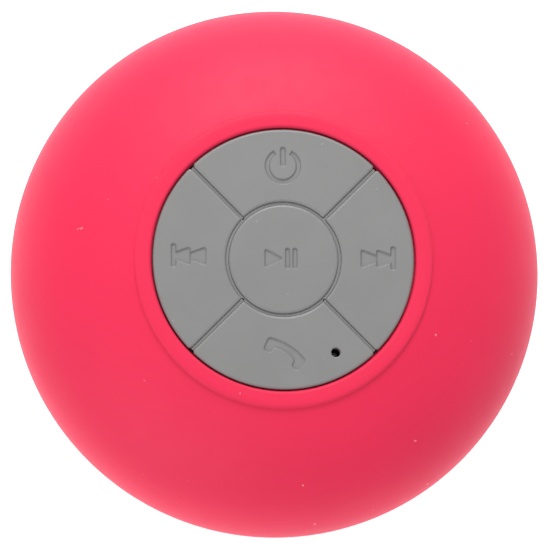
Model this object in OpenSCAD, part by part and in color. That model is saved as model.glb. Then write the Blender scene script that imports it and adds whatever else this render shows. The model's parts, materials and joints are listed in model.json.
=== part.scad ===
// Round shower speaker. A suction cup carries a two-part shell that holds a silicone keypad,
// a main board with five tactile switches, a battery, a charging board and a driver that fires
// down through slots in the floor. Millimetres, +Z up, away from the wall. The origin is the
// centre of the suction cup's sealing face.

/* [Body] */
// Outer diameter of the round body
body_d = 86; // [85:0.5:88]
// Height from the wall to the top of the collar round the keypad
overall_h = 54; // [53.5:0.25:54.5]
// Height of the widest ring of the body above the wall
equator_z = 33.6; // [33.4:0.1:33.8]
// Roundness of the dome's outline: 2 is an ellipse, more is boxier
dome_n = 2.4; // [2.3:0.05:2.5]
// Roundness of the bowl's outline
bowl_n = 2.2; // [2.15:0.05:2.25]
// Wall thickness of both shells
wall = 2; // [1.8:0.1:2.2]
// Height of the underside of the body above the wall
floor_z = 13.6; // [13.5:0.1:13.7]

/* [Keypad] */
// Radius of the keypad's outer edge
pad_r = 20.9; // [20.6:0.1:21]
// Radius of the round centre key
centre_key_r = 8.75; // [8.4:0.05:8.9]
// Width of the grooves between keys
groove_w = 0.5; // [0.4:0.1:0.9]
// How far the key tops sit below the collar
key_recess = 0.4; // [0.3:0.1:0.5]
// Travel of a key
key_travel = 0.5; // [0.4:0.05:0.5]
// Depth of the engraved symbols
symbol_depth = 0.3; // [0.2:0.05:0.4]

/* [Driver] */
// Outer diameter of the driver's frame
driver_d = 40; // [39.6:0.1:40]
// Number of sound slots in the floor
slot_count = 18; // [12:1:20]
// Width of a sound slot
slot_w = 1.8; // [1.4:0.1:2]

/* [Suction cup] */
// Diameter of the suction cup
cup_d = 60; // [58:1:62]
// Width of the flat sealing land at the cup's rim
cup_land = 3.5; // [3:0.5:4]

/* [Hidden] */
$fn = 96;
eps = 0.01;

// Colours
pink = [0.96, 0.25, 0.38];
key_grey = [0.58, 0.58, 0.57];
dark_plastic = [0.12, 0.12, 0.13];
board_green = [0.05, 0.30, 0.16];
steel = [0.72, 0.72, 0.74];
copper = [0.72, 0.42, 0.22];

// Shell outlines. Heights above the equator for the dome, below it for the bowl.
body_r = body_d / 2;
collar_ro = 23.9;
collar_step = 0.7;
well_r = pad_r + 0.3;
dome_h = (overall_h - collar_step - equator_z) / pow(1 - pow(collar_ro / body_r, dome_n), 1 / dome_n);
bowl_h = 26;
seam_gap = 0.2;
seam_z = 31.5;
tongue_ri = 39.3;
tongue_ro = 40.8;
tongue_top = seam_z + 2.7;
seal_z = [32.3, 33.5];
seal_ri = 40;

// Keypad stack, from the top down
key_top = overall_h - key_recess;
key_bottom = key_top - 2.2;
web_h = key_travel + 0.1;
membrane_top = key_bottom - web_h;
deck_top = membrane_top - 0.7;
deck_bottom = deck_top - 1.6;
board_top = deck_bottom - 4.6;
board_bottom = board_top - 1.6;
board_r = 21;
board_boss_r = 18.6;
switch_offset = 14;
switch_w = 6;
plunger_top = board_top + 4.4;
plunger_r = 1.7;
stem_r = 1.5;
stem_gap = 0.22;
key_angles = [90, 180, 0, 270];
mic_pos = [8.36, -14.9];
mic_r = 0.73;
led_pos = [-8.36, -14.9];

// Case screws
screw_ring_r = 24.5;
case_screw_shoulder = 20;
case_tube_top = 30;

// Driver, cone side down
seat_top = 18.2;
frame_z = 19;
plate_z = 29;
magnet_z = 31.2;
yoke_z = 35.2;
yoke_top = 37.2;
coil_r = 6.5;

// Battery
cell = [30, 24, 3.8];
tape_h = 0.2;
cell_z = yoke_top + tape_h;

// Charging port, built in a frame whose Z points out of the bowl's side
port_z = 25;
port_tilt = 25;
port_r = bowl_radius(port_z);
cover_w = 13.5;
cover_h = 7;
cover_inner = -1.8;
cover_gap = 0.2;
anchor_x = 9.2;
port_block_z = -4.4;

// Suction cup
cup_r = cup_d / 2;
neck_r = 12;
neck_top = 12.9;
dish_apex = 5.2;
stud_flange_z = 7.5;
stud_fit = 0.05;
boss_top = 16.6;

// Radius of a superellipse at height dz from its widest ring
function se_radius(r, h, n, dz) = r * pow(1 - pow(dz / h, n), 1 / n);
// The angle parameter where the superellipse has radius x, or height dz
function se_angle_r(r, n, x) = acos(pow(x / r, n / 2));
function se_angle_z(h, n, dz) = asin(pow(dz / h, n / 2));
function se_points(r, h, n, a0, a1, steps) = [
  for (i = [0:steps])
    let (a = a0 + (a1 - a0) * i / steps)
    [r * pow(cos(a), 2 / n), h * pow(sin(a), 2 / n)]
];
function bowl_radius(z) = se_radius(body_r, bowl_h, bowl_n, equator_z - z);
function raised(points) = [for (p = points) [p[0], equator_z + p[1]]];
function lowered(points) = [for (p = points) [p[0], equator_z - p[1]]];
function reversed(points) = [for (i = [len(points) - 1:-1:0]) points[i]];

// Four places on a ring, at the corners between the side keys
module at_corners(r) {
  for (a = [45:90:315])
    rotate(a) translate([r, 0, 0]) children();
}

// A ring with a rectangular section
module ring(ri, ro, z0, z1) {
  rotate_extrude()
    translate([ri, z0]) square([ro - ri, z1 - z0]);
}

// ---- Shells ----

module upper_shell() {
  a_out = se_angle_r(body_r, dome_n, collar_ro);
  a_in = se_angle_r(body_r - wall, dome_n, well_r + wall);
  outline = concat(
    [[bowl_radius(seam_z + seam_gap / 2), seam_z + seam_gap / 2]],
    raised(se_points(body_r, dome_h, dome_n, 0, a_out, 20)),
    [[collar_ro, overall_h], [well_r, overall_h], [well_r, deck_top], [0, deck_top],
     [0, deck_bottom], [well_r + wall, deck_bottom]],
    reversed(raised(se_points(body_r - wall, dome_h - wall, dome_n, 0, a_in, 14))),
    [[body_r - wall, seam_z + seam_gap / 2]]
  );
  color(pink)
  difference() {
    union() {
      rotate_extrude() polygon(outline);
      at_corners(screw_ring_r)
        translate([0, 0, case_tube_top + 0.2]) cylinder(r = 3, h = 50.9 - case_tube_top - 0.2);
      at_corners(board_boss_r)
        translate([0, 0, board_top]) cylinder(r = 2.2, h = deck_bottom - board_top + eps);
    }
    at_corners(screw_ring_r)
      translate([0, 0, case_tube_top]) cylinder(r = 1.3, h = 10);
    at_corners(board_boss_r)
      translate([0, 0, board_top - eps]) cylinder(r = 0.9, h = 4);
    at_switches() translate([0, 0, deck_bottom - eps]) cylinder(r = 2.2, h = 2);
    translate([mic_pos[0], mic_pos[1], deck_bottom - eps]) cylinder(r = 1, h = 2);
  }
}

module bowl_outside() {
  a_floor = se_angle_z(bowl_h, bowl_n, equator_z - floor_z);
  a_seam = se_angle_z(bowl_h, bowl_n, equator_z - seam_z + seam_gap / 2);
  rotate_extrude()
    polygon(concat(
      [[0, floor_z]],
      reversed(lowered(se_points(body_r, bowl_h, bowl_n, a_seam, a_floor, 18))),
      [[0, seam_z - seam_gap / 2]]
    ));
}

module lower_shell_body() {
  a_floor = se_angle_z(bowl_h, bowl_n, equator_z - floor_z);
  a_seam = se_angle_z(bowl_h, bowl_n, equator_z - seam_z + seam_gap / 2);
  a_in_floor = se_angle_z(bowl_h - wall, bowl_n, equator_z - floor_z - wall);
  a_in_top = se_angle_z(bowl_h - wall, bowl_n, equator_z - seam_z + 3);
  floor_top = floor_z + wall;
  outline = concat(
    [[4.05, boss_top], [4.05, 14.7], [5.5, 14.7], [5.5, floor_z]],
    reversed(lowered(se_points(body_r, bowl_h, bowl_n, a_seam, a_floor, 18))),
    [[tongue_ro, seam_z - seam_gap / 2], [tongue_ro, seal_z[0]], [seal_ri, seal_z[0]],
     [seal_ri, seal_z[1]], [tongue_ro, seal_z[1]], [tongue_ro, tongue_top],
     [tongue_ri, tongue_top], [tongue_ri, seam_z - 2]],
    lowered(se_points(body_r - wall, bowl_h - wall, bowl_n, a_in_top, a_in_floor, 12)),
    [[20.3, floor_top], [20.3, seat_top], [18.3, seat_top], [18.3, floor_top],
     [7, floor_top], [7, boss_top]]
  );
  rotate_extrude() polygon(outline);
}

module lower_shell() {
  color(pink)
  difference() {
    union() {
      lower_shell_body();
      at_corners(screw_ring_r)
        translate([0, 0, floor_z + 1]) cylinder(r = 3.2, h = case_tube_top - floor_z - 1);
      intersection() {
        bowl_outside();
        port_frame() translate([-9, -5.6, port_block_z]) cube([21.5, 11.2, 6]);
      }
      board_rails();
    }
    at_corners(screw_ring_r) {
      translate([0, 0, floor_z - 1]) cylinder(r = 2.5, h = case_screw_shoulder - floor_z + 1);
      cylinder(r = 1.45, h = case_tube_top + 1);
    }
    sound_slots();
    port_openings();
  }
}

module sound_slots() {
  for (i = [0:slot_count - 1])
    rotate(i * 360 / slot_count)
    translate([0, 0, floor_z - 1]) {
      translate([13.6, -slot_w / 2, 0]) cube([3.2, slot_w, 4]);
      translate([13.6, 0, 0]) cylinder(r = slot_w / 2, h = 4, $fn = 32);
      translate([16.8, 0, 0]) cylinder(r = slot_w / 2, h = 4, $fn = 32);
    }
}

module shell_seal() {
  color([0.15, 0.15, 0.16])
    ring(seal_ri + 0.02, body_r - wall - 0.02, seal_z[0] + 0.1, seal_z[1] - 0.1);
}

module case_screws() {
  color(steel)
  at_corners(screw_ring_r)
  difference() {
    union() {
      translate([0, 0, case_screw_shoulder - 1.8]) cylinder(r = 2.3, h = 1.8);
      translate([0, 0, case_screw_shoulder - eps]) cylinder(r = 1.25, h = 16);
    }
    cross_recess(case_screw_shoulder - 1.8, 2.4);
  }
}

// A cross cut up into a screw head whose face is at height z
module cross_recess(z, w) {
  for (a = [0, 90])
    rotate(a) translate([-w / 2, -0.25, z - eps]) cube([w, 0.5, 0.9]);
}

// ---- Keypad ----

module at_switches() {
  children();
  for (a = key_angles)
    rotate(a) translate([switch_offset, 0, 0]) children();
}

// Outline of a side key that points along +X, drawn in by d all round
module side_key_outline(d) {
  half_gap = groove_w / 2 + d;
  apex = half_gap * sqrt(2);
  reach = 30;
  intersection() {
    difference() {
      circle(r = pad_r - d);
      circle(r = centre_key_r + groove_w + d);
    }
    polygon([[apex, 0], [apex + reach, -reach], [apex + reach, reach]]);
  }
}

module key_outline(name, d) {
  if (name == "play_pause") circle(r = centre_key_r - d);
  else rotate(key_angle(name)) side_key_outline(d);
}

function key_angle(name) =
  name == "power" ? 90 : name == "previous" ? 180 : name == "next" ? 0 : 270;

module at_key_stem(name) {
  if (name == "play_pause") children();
  else rotate(key_angle(name)) translate([switch_offset, 0, 0]) children();
}

module key(name) {
  color(key_grey)
  difference() {
    union() {
      translate([0, 0, key_bottom]) linear_extrude(key_top - key_bottom) key_outline(name, 0);
      at_key_stem(name)
        translate([0, 0, plunger_top + stem_gap])
        cylinder(r = stem_r, h = key_bottom - plunger_top - stem_gap + eps);
    }
    translate([0, 0, key_top - symbol_depth]) linear_extrude(1) key_symbol(name);
    if (name == "call")
      translate([mic_pos[0], mic_pos[1], key_bottom - 1]) cylinder(r = mic_r, h = 5, $fn = 32);
  }
}

module key_symbol(name) {
  if (name == "power") power_symbol();
  if (name == "previous") translate([-15.1, 0.3]) mirror([1, 0]) skip_symbol();
  if (name == "next") translate([15.1, 0.3]) skip_symbol();
  if (name == "play_pause") play_pause_symbol();
  if (name == "call") translate([0.3, -15.3]) handset_symbol();
}

module power_symbol() {
  translate([0, 14.85]) {
    difference() {
      circle(r = 2.95);
      circle(r = 2.33);
      polygon([[0, 0], [-2.6, 4.5], [2.6, 4.5]]);
    }
    translate([-0.4, 0.35]) square([0.8, 2.85]);
  }
}

// Two blunt arrowheads that point along +X, and a bar
module skip_symbol() {
  for (x = [-2.75, -0.38])
    translate([x, 0])
      polygon([[0, -1.45], [2.37, -0.4], [2.37, 0.4], [0, 1.45]]);
  translate([1.98, -1.75]) square([0.7, 3.5]);
}

module play_pause_symbol() {
  polygon([[-2.9, -1.43], [0, 0], [-2.9, 1.43]]);
  for (x = [0.4, 1.55])
    translate([x, -1.6]) square([0.78, 3.2]);
}

// A telephone handset: a curved handle with an ear block at each end
module handset_symbol() {
  handle_r = 9.3;
  rotate(-31)
  translate([0, 0.9]) {
    intersection() {
      translate([0, -handle_r + 0.65])
      difference() {
        circle(r = handle_r);
        circle(r = handle_r - 1.1);
      }
      translate([-3.4, -2.6]) square([6.8, 4]);
    }
    for (side = [0, 1])
      mirror([side, 0]) polygon([[1.95, -1.9], [3.2, -1.9], [3.4, -0.2], [2, -0.2]]);
  }
}

module key_web(name) {
  web_t = 0.5;
  inset = 0.7;
  color(key_grey)
  translate([0, 0, membrane_top])
  linear_extrude(web_h)
  difference() {
    key_outline(name, inset);
    key_outline(name, inset + web_t);
  }
}

module keypad_membrane() {
  color(key_grey)
  difference() {
    translate([0, 0, deck_top]) cylinder(r = pad_r + 0.1, h = membrane_top - deck_top);
    at_switches() translate([0, 0, deck_top - 1]) cylinder(r = 2.1, h = 3);
    translate([mic_pos[0], mic_pos[1], deck_top - 1]) cylinder(r = 0.9, h = 3, $fn = 32);
  }
}

// ---- Main board ----

module main_board() {
  color(board_green)
  difference() {
    translate([0, 0, board_bottom]) cylinder(r = board_r, h = board_top - board_bottom);
    at_corners(board_boss_r) translate([0, 0, board_bottom - 1]) cylinder(r = 1, h = 4, $fn = 32);
  }
}

module board_screws() {
  color(steel)
  at_corners(board_boss_r)
  difference() {
    union() {
      translate([0, 0, board_bottom - 0.7]) cylinder(r = 1.6, h = 0.7);
      translate([0, 0, board_bottom - eps]) cylinder(r = 0.85, h = 4.8);
    }
    translate([-1, -0.2, board_bottom - 0.7 - eps]) cube([2, 0.4, 0.4]);
  }
}

module switch_bases() {
  h = 2.9;
  leg = [1.2, 0.7, 0.3];
  color(dark_plastic)
  at_switches()
  difference() {
    union() {
      translate([-switch_w / 2, -switch_w / 2, board_top]) cube([switch_w, switch_w, h]);
      for (sx = [-1, 1], sy = [-1, 1])
        translate([sx * (switch_w / 2 + 0.5) - leg[0] / 2, sy * 2.2 - leg[1] / 2, board_top])
          cube(leg);
    }
    translate([0, 0, board_top + h - 0.7]) cylinder(r = plunger_r + 0.1, h = 1, $fn = 48);
  }
}

module switch_covers() {
  color(steel)
  at_switches()
  difference() {
    translate([-switch_w / 2, -switch_w / 2, board_top + 2.9]) cube([switch_w, switch_w, 0.6]);
    translate([0, 0, board_top + 2]) cylinder(r = plunger_r + 0.1, h = 3, $fn = 48);
    for (sx = [-1, 1], sy = [-1, 1])
      translate([sx * 2.3, sy * 2.3, board_top + 2]) cylinder(r = 0.35, h = 3, $fn = 24);
  }
}

module switch_plunger(name) {
  color(dark_plastic)
  at_key_stem(name)
    translate([0, 0, plunger_top - 1.7]) cylinder(r = plunger_r, h = 1.7);
}

module microphone_capsule() {
  color(steel)
  translate([mic_pos[0], mic_pos[1], board_top])
  difference() {
    cylinder(r = 2, h = 1.8, $fn = 48);
    translate([0, 0, 1.4]) cylinder(r = 0.5, h = 1, $fn = 24);
  }
}

module microphone_boot() {
  color(dark_plastic)
  translate([mic_pos[0], mic_pos[1], 0])
  difference() {
    translate([0, 0, board_top + 1.8]) cylinder(r = 2.4, h = deck_bottom - board_top - 1.8, $fn = 48);
    translate([0, 0, board_top]) cylinder(r = 0.8, h = 6, $fn = 24);
  }
}

module status_led() {
  color([0.9, 0.9, 0.95])
  translate([led_pos[0] - 1, led_pos[1] - 0.6, board_top]) cube([2, 1.2, 0.8]);
}

module radio_module() {
  color([0.1, 0.25, 0.45])
    translate([-6, 13.2, board_bottom - 0.8]) cube([12, 6.4, 0.8]);
  color(steel)
    translate([-4.6, 13.6, board_bottom - 2.4]) cube([9.2, 5.6, 1.6]);
}

module board_chips() {
  color(dark_plastic) {
    translate([5.5, -17.6, board_bottom - 1.4]) cube([6, 4, 1.4]);
    translate([16.2, -7.6, board_bottom - 1]) cube([2.8, 2.8, 1]);
    translate([-19, 5, board_bottom - 1]) cube([2.8, 2.8, 1]);
  }
}

module board_capacitors() {
  color([0.2, 0.2, 0.35])
  for (p = [[-8.2, -16], [9.6, 15.2]])
    translate([p[0], p[1], board_bottom - 3.4]) cylinder(r = 1.9, h = 3.4, $fn = 48);
}

// Socket headers for the three pairs of leads, mouth down
module lead_connectors() {
  color([0.9, 0.88, 0.8])
  for (a = [0, 180, 270])
    rotate(a)
    difference() {
      translate([16.2, -2.4, board_bottom - 3]) cube([3.2, 4.8, 3]);
      for (y = [-1, 1])
        translate([17.8, y, board_bottom - 4]) cylinder(r = 0.55, h = 3, $fn = 24);
    }
}

// ---- Leads ----

// Point i of a list, with the ends repeated
function held(points, i) = points[max(0, min(len(points) - 1, i))];
// Catmull-Rom curve through the points
function smooth_route(points, steps) = [
  for (i = [0:len(points) - 2], k = [0:steps - (i == len(points) - 2 ? 0 : 1)])
    let (t = k / steps, a = held(points, i - 1), b = points[i], c = points[i + 1],
         d = held(points, i + 2))
    0.5 * (2 * b + (c - a) * t + (2 * a - 5 * b + 4 * c - d) * t * t
           + (3 * b - a - 3 * c + d) * t * t * t)
];
function unit(v) = v / norm(v);

// A round tube along a smooth curve through the points. The curve never runs along side.
module lead(points, r, side) {
  sides = 8;
  route = smooth_route(points, 6);
  n = len(route);
  rings = [
    for (i = [0:n - 1])
      let (along = unit(route[min(n - 1, i + 1)] - route[max(0, i - 1)]),
           u = unit(cross(along, side)),
           v = cross(along, u))
      for (k = [0:sides - 1])
        route[i] + r * (cos(k * 360 / sides) * u + sin(k * 360 / sides) * v)
  ];
  walls = [
    for (i = [0:n - 2], k = [0:sides - 1])
      let (a = i * sides + k, b = i * sides + (k + 1) % sides)
      for (face = [[a, a + sides, b + sides], [a, b + sides, b]]) face
  ];
  ends = [
    [for (k = [0:sides - 1]) k],
    [for (k = [sides - 1:-1:0]) (n - 1) * sides + k]
  ];
  polyhedron(points = rings, faces = concat(walls, ends), convexity = 4);
}

lead_r = 0.45;
connector_z = board_bottom - 3;

module battery_leads() {
  for (y = [-1, 1])
    color(y > 0 ? "firebrick" : "black")
    lead([[-15.05, 8 * y, cell_z + 2], [-17.6, 8 * y, 38.8], [-19, 6.8 * y, 36.2],
          [-18.8, 4.2 * y, 34], [-18, 1.8 * y, 35.4], [-17.8, y, connector_z - 0.05]], lead_r, [1, y, 0]);
}

module charge_leads() {
  for (x = [-1, 1])
    color(x > 0 ? "firebrick" : "black")
    lead([[1.4 * x, -30.2, 29.3], [1.4 * x, -27.6, 30.6], [1.3 * x, -24, 34],
          [x, -18.6, 36.4], [x, -17.8, connector_z - 0.05]], lead_r, [1, 0, 0]);
}

module driver_leads() {
  for (y = [-1, 1])
    color(y > 0 ? "firebrick" : "black")
    lead([[20.8, 1.4 * y, 25.05], [20.9, 1.4 * y, 27], [22, 1.2 * y, 32.5],
          [19.6, y, 36.6], [17.8, y, connector_z - 0.05]], lead_r, [0, 1, 0]);
}

// ---- Battery ----

module battery_cell() {
  color([0.78, 0.8, 0.82])
  translate([-cell[0] / 2, -cell[1] / 2, cell_z]) cube(cell);
}

module battery_tape() {
  color([0.95, 0.85, 0.3])
  translate([-10, -9, yoke_top]) cube([20, 18, tape_h]);
}

// ---- Charging port ----

module port_frame() {
  translate([0, -port_r, port_z]) rotate([90 + port_tilt, 0, 0]) children();
}

// A plate with round corners, centred on the port's axis, between two depths
module rounded_plate(w, h, r, z0, z1) {
  translate([0, 0, z0])
  linear_extrude(z1 - z0) {
    square([w - 2 * r, h], center = true);
    square([w, h - 2 * r], center = true);
    for (x = [-1, 1], y = [-1, 1])
      translate([x * (w / 2 - r), y * (h / 2 - r)]) circle(r = r, $fn = 48);
  }
}

module port_openings() {
  port_frame() {
    rounded_plate(cover_w + 2 * cover_gap, cover_h + 2 * cover_gap, 2.4, cover_inner - 0.1, 4);
    translate([-4.3, -1.75, -6]) cube([8.6, 3.5, 6]);
    translate([cover_w / 2, -2.1, -2.6]) cube([4.5, 4.2, 6]);
    translate([anchor_x, 0, -8]) cylinder(r = 1.15, h = 8, $fn = 32);
    translate([anchor_x, 0, port_block_z - 1.6]) cylinder(r = 1.9, h = 1.6, $fn = 32);
  }
}

// Two slotted rails inside the bowl that hold the charging board by its edges
module board_rails() {
  port_frame()
  for (side = [0, 1])
    mirror([side, 0, 0])
    difference() {
      translate([6.4, -3.7, -13.4]) cube([2.4, 3.4, 9.4]);
      translate([6, -2.4, -14]) cube([1.5, 1.2, 8.8]);
    }
}

module port_cover() {
  color(pink)
  union() {
    intersection() {
      bowl_outside();
      port_frame() rounded_plate(cover_w, cover_h, 2.2, cover_inner, 3);
    }
    port_frame() rounded_plate(6, 1.2, 0.5, cover_inner - 1.9, cover_inner + 0.2);
  }
}

module port_cover_anchor() {
  color(pink)
  union() {
    intersection() {
      bowl_outside();
      port_frame() translate([cover_w / 2 + 0.2, -1.9, -2.5]) cube([4.1, 3.8, 5]);
    }
    port_frame() {
      translate([anchor_x, 0, port_block_z - 0.2]) cylinder(r = 1.1, h = 2.6, $fn = 32);
      translate([anchor_x, 0, port_block_z - 1]) cylinder(r = 1.6, h = 0.9, $fn = 32);
    }
  }
}

module charge_board() {
  color(board_green)
  port_frame() translate([-7.4, -2.35, -14.8]) cube([14.8, 1, 9.5]);
}

module charge_port_shell() {
  color(steel)
  port_frame()
  difference() {
    translate([-3.75, -1.35, -7.8]) cube([7.5, 2.7, 5.2]);
    translate([-3.45, -1.05, -7.5]) cube([6.9, 2.1, 6]);
  }
}

module charge_port_tongue() {
  color(dark_plastic)
  port_frame() translate([-2.4, 0.1, -7.45]) cube([4.8, 0.6, 3.4]);
}

// ---- Driver ----

module driver_frame() {
  r = driver_d / 2;
  color([0.2, 0.2, 0.21])
  difference() {
    union() {
      rotate_extrude()
        polygon([[18, frame_z], [r, frame_z], [r, 20.4], [19, 20.4], [15.9, 28.2],
                 [15.9, plate_z], [7.6, plate_z], [7.6, 28.2], [15, 28.2], [15.6, 26.8],
                 [13.6, 26.8], [13.6, 26], [15.9, 26], [18.1, 20.4], [17.2, 20.4],
                 [17.2, 19.4], [18, 19.4]]);
      translate([18.6, -4, 19.6]) cube([3.6, 8, 0.8]);
    }
    for (i = [0:5])
      rotate(i * 60 + 30) translate([14, -4.5, 21.4]) cube([8, 9, 3.8]);
  }
}

module driver_gasket() {
  color(dark_plastic) ring(18.1, 20, seat_top, frame_z);
}

module driver_front_plate() {
  color(steel) ring(7.05, 15, plate_z, magnet_z);
}

module driver_magnet() {
  color([0.25, 0.25, 0.26]) ring(8, 15.5, magnet_z, yoke_z);
}

module driver_yoke() {
  color(steel) {
    translate([0, 0, yoke_z]) cylinder(r = 15, h = yoke_top - yoke_z);
    translate([0, 0, plate_z + 0.2]) cylinder(r = 6.1, h = yoke_z - plate_z);
  }
}

module driver_cone() {
  color([0.16, 0.16, 0.17])
  rotate_extrude()
    polygon([[coil_r + 0.02, 24.5], [14.8, 20.25], [15.8, 20.25], [15.8, 20.6], [14.9, 20.6],
             [coil_r + 0.02, 24.9]]);
}

module dust_cap() {
  cap_r = 11;
  cap_t = 0.3;
  rim = 6.3;
  rim_z = 24.4;
  rim_a = asin(rim / cap_r);
  centre_z = rim_z + cap_r * cos(rim_a);
  function arc(r, i) = [r * sin(rim_a * i / 10), centre_z - r * cos(rim_a * i / 10)];
  color([0.1, 0.1, 0.11])
  rotate_extrude()
    polygon(concat(
      [for (i = [0:10]) arc(cap_r, i)],
      [for (i = [10:-1:0]) arc(cap_r - cap_t, i)]
    ));
}

module coil_former() {
  color([0.75, 0.55, 0.3]) ring(coil_r - 0.15, coil_r, 24.45, 32.6);
}

module coil_winding() {
  color(copper) ring(coil_r, coil_r + 0.35, 28.4, 32);
}

// Half roll between the cone's rim and the frame's ledge, bulging down
module driver_surround() {
  c = [16.55, 19.45];
  ro = 0.75;
  ri = 0.45;
  color([0.08, 0.08, 0.08])
  rotate_extrude()
    polygon(concat(
      [[15, 19.95], [c[0] - ro, 19.95]],
      [for (i = [0:10]) c + ro * [-cos(18 * i), -sin(18 * i)]],
      [[c[0] + ro, 19.1], [17.95, 19.1], [17.95, 19.38], [c[0] + ri, 19.38]],
      [for (i = [10:-1:0]) c + ri * [-cos(18 * i), -sin(18 * i)]],
      [[c[0] - ri, 20.23], [15, 20.23]]
    ));
}

// Corrugated centring disc
module driver_spider() {
  n = 40;
  r0 = coil_r + 0.04;
  r1 = 13.4;
  function wave(i) = 25.55 + 0.35 * sin(i * 360 * 5 / n);
  color([0.8, 0.65, 0.35])
  rotate_extrude()
    polygon(concat(
      [for (i = [0:n]) [r0 + (r1 - r0) * i / n, wave(i)]],
      [[15.3, 25.6], [15.3, 25.95], [r1, 25.95]],
      [for (i = [n - 1:-1:0]) [r0 + (r1 - r0) * i / n, wave(i) + 0.3]]
    ));
}

module driver_terminal() {
  color([0.55, 0.4, 0.2])
  translate([20.2, -3.4, 20.4]) cube([1.2, 6.8, 4.6]);
}

module acoustic_mesh() {
  color(dark_plastic) ring(7.2, 18.2, floor_z + wall, floor_z + wall + 0.2);
}

// ---- Suction cup ----

function dish_under(r) = dish_apex * (1 - pow(r / (cup_r - cup_land), 2));
function dish_over(r) = 0.7 + 7.3 * pow((cup_r - r) / (cup_r - neck_r - 0.5), 1.6);

module suction_cup() {
  tab_w = 9;
  tab_end = cup_r + 2.4;
  under = [for (i = [0:12]) let (r = (cup_r - cup_land) * i / 12) [r, max(0, dish_under(r))]];
  over = [for (i = [0:12]) let (r = cup_r - (cup_r - neck_r - 0.5) * i / 12) [r, dish_over(r)]];
  color(pink)
  union() {
    rotate_extrude()
      polygon(concat(
        under,
        [[cup_r, 0]],
        over,
        [[neck_r, 8.6], [neck_r, neck_top], [6 + stud_fit, neck_top],
         [6 + stud_fit, stud_flange_z + 2 + stud_fit], [9 + stud_fit, stud_flange_z + 2 + stud_fit],
         [9 + stud_fit, stud_flange_z - stud_fit], [0, stud_flange_z - stud_fit]]
      ));
    translate([cup_r - 2, -tab_w / 2, 0.4]) cube([tab_end - cup_r + 2, tab_w, 1.5]);
    translate([tab_end, 0, 0.4]) cylinder(r = tab_w / 2, h = 1.5);
  }
}

module cup_stud() {
  color(dark_plastic)
  difference() {
    union() {
      translate([0, 0, stud_flange_z]) cylinder(r = 9, h = 2);
      translate([0, 0, stud_flange_z + 1]) cylinder(r = 6, h = 5);
      translate([0, 0, stud_flange_z + 2]) cylinder(r = 4, h = boss_top + 0.1 - stud_flange_z - 2);
    }
    translate([0, 0, 10]) cylinder(r = 1.3, h = 10, $fn = 32);
  }
}

module stud_washer() {
  color(steel) ring(1.7, 6.5, boss_top + 0.1, boss_top + 0.9);
}

module stud_screw() {
  color(steel)
  difference() {
    union() {
      translate([0, 0, boss_top + 0.9]) cylinder(r = 2.7, h = 1.6);
      translate([0, 0, 10.4]) cylinder(r = 1.25, h = boss_top + 1 - 10.4, $fn = 48);
    }
    for (a = [0, 90])
      rotate(a) translate([-1.3, -0.25, boss_top + 1.7]) cube([2.6, 0.5, 1]);
  }
}

module stud_seal() {
  color(dark_plastic)
  rotate_extrude() translate([4.8, 14.15]) circle(r = 0.5, $fn = 32);
}

upper_shell();
lower_shell();
shell_seal();
case_screws();
keypad_membrane();
for (name = ["power", "previous", "play_pause", "next", "call"]) {
  key(name);
  key_web(name);
  switch_plunger(name);
}
main_board();
board_screws();
switch_bases();
switch_covers();
microphone_capsule();
microphone_boot();
status_led();
radio_module();
board_chips();
board_capacitors();
lead_connectors();
battery_cell();
battery_tape();
battery_leads();
charge_board();
charge_port_shell();
charge_port_tongue();
charge_leads();
port_cover();
port_cover_anchor();
driver_frame();
driver_front_plate();
driver_magnet();
driver_yoke();
driver_cone();
dust_cap();
coil_former();
coil_winding();
driver_surround();
driver_spider();
driver_gasket();
driver_terminal();
driver_leads();
acoustic_mesh();
suction_cup();
cup_stud();
stud_washer();
stud_screw();
stud_seal();
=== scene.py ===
"""Round shower speaker: the visible pieces and every material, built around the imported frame.

Meshes are written in millimetres and scaled once, when they are made. +Z points out of the
keypad, and +Y towards the power key.
"""

import json
import math

import bmesh
import bpy
from mathutils import Matrix, Vector


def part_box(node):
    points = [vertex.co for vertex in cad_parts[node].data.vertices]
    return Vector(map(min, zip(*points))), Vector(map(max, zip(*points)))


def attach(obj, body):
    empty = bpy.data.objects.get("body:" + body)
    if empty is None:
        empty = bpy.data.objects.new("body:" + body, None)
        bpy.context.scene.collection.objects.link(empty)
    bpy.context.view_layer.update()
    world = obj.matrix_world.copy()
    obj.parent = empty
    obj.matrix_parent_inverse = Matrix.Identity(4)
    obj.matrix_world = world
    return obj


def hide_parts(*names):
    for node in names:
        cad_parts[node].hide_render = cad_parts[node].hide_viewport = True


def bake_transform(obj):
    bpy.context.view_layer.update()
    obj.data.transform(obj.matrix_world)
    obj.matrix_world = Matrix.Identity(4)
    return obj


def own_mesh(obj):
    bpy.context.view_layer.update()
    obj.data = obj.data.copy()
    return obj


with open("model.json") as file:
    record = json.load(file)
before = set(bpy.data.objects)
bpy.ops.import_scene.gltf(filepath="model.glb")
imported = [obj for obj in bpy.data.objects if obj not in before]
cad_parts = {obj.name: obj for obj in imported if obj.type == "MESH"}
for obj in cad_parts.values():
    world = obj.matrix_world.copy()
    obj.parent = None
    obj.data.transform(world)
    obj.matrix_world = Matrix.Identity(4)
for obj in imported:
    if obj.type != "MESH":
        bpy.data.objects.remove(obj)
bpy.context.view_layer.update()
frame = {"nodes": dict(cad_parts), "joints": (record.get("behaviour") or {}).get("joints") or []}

MM = 0.001
TAU = 2 * math.pi
WAVE_PERIOD = 0.314  # how far apart a wave texture's bands are at scale 1
# Each key's direction from the middle of the keypad in degrees. The centre key has none.
KEYS = {"power": 90, "previous": 180, "next": 0, "call": 270, "play_pause": None}
DIVIDERS = (45, 135, 225, 315)


# ---- Sizes, in millimetres, read from the frame where a node has them ----

def box_mm(node):
    low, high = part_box(node)
    return low / MM, high / MM


def joint(name):
    return next(j for j in frame["joints"] if j["name"] == name)


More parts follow.
